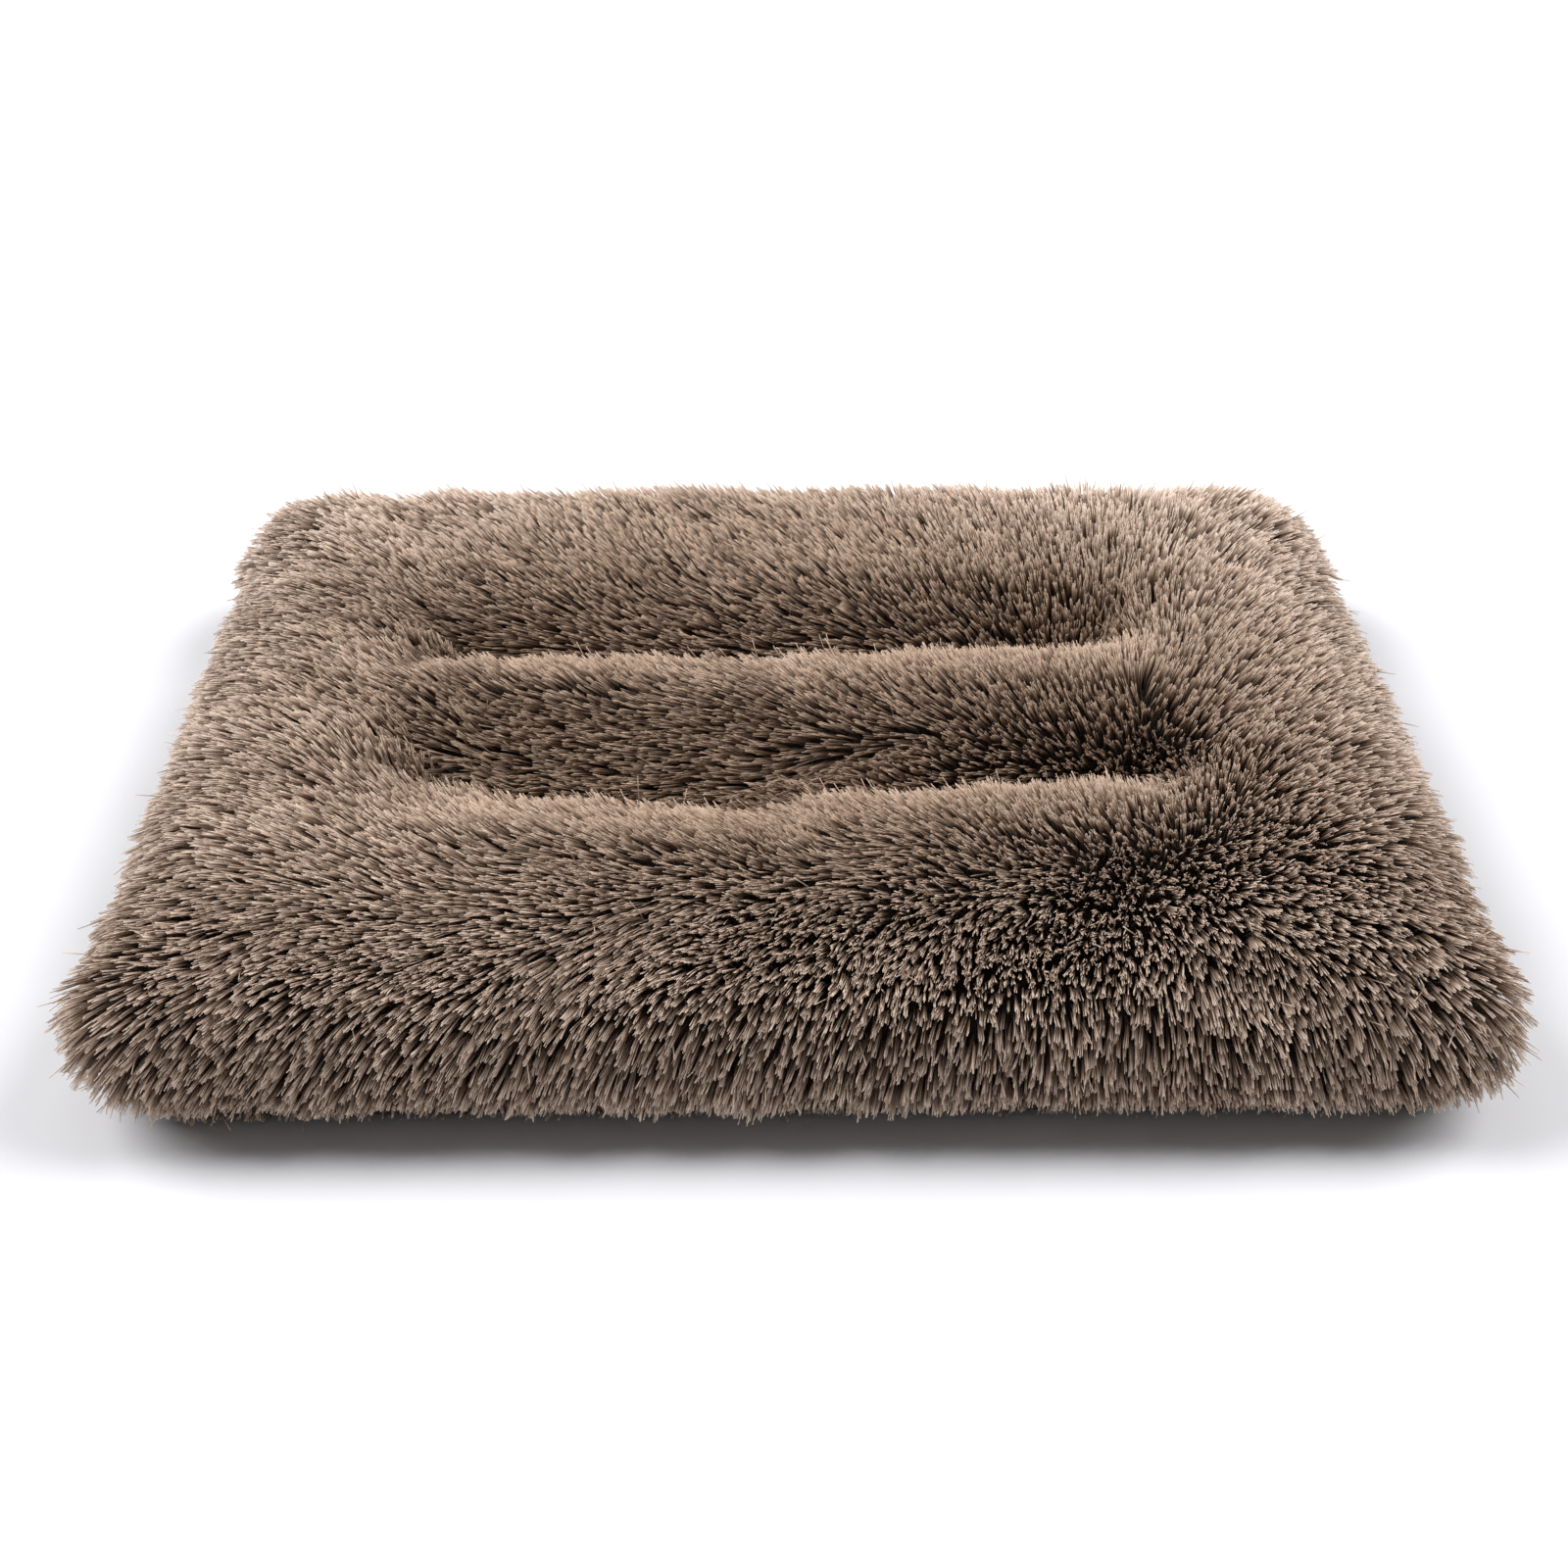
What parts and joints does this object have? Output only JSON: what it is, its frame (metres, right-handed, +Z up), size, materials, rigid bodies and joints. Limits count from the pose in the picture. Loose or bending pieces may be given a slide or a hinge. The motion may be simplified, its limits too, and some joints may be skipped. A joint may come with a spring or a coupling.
{
  "type": "pet cushion bed",
  "caption": "Rectangular boxed pet mat in long-pile plush with fibre filling, channels sewn through it across its width and a thin grip base.",
  "frame": {"origin": "centre of the underside, on the surface that the bed lies on", "axes": "+Z up, +X to the right along the bed's width, -Y towards the front edge"},
  "size_m": [0.62, 0.48, 0.076],
  "materials": {
    "plush": "matte",
    "base_fabric": "matte",
    "fibre": "matte",
    "thread": "satin"
  },
  "bodies": {
    "root": {"top_plush_panel": "plush", "front_boxing_strip": "plush", "rear_boxing_strip": "plush", "base_panel": "base_fabric", "fibre_fill": "fibre", "front_channel_stitching": "thread", "rear_channel_stitching": "thread", "top_edge_stitching": "thread", "base_edge_stitching": "thread", "left_join_stitching": "thread", "right_join_stitching": "thread", "closing_stitching": "thread"}
  },
  "joints": []
}
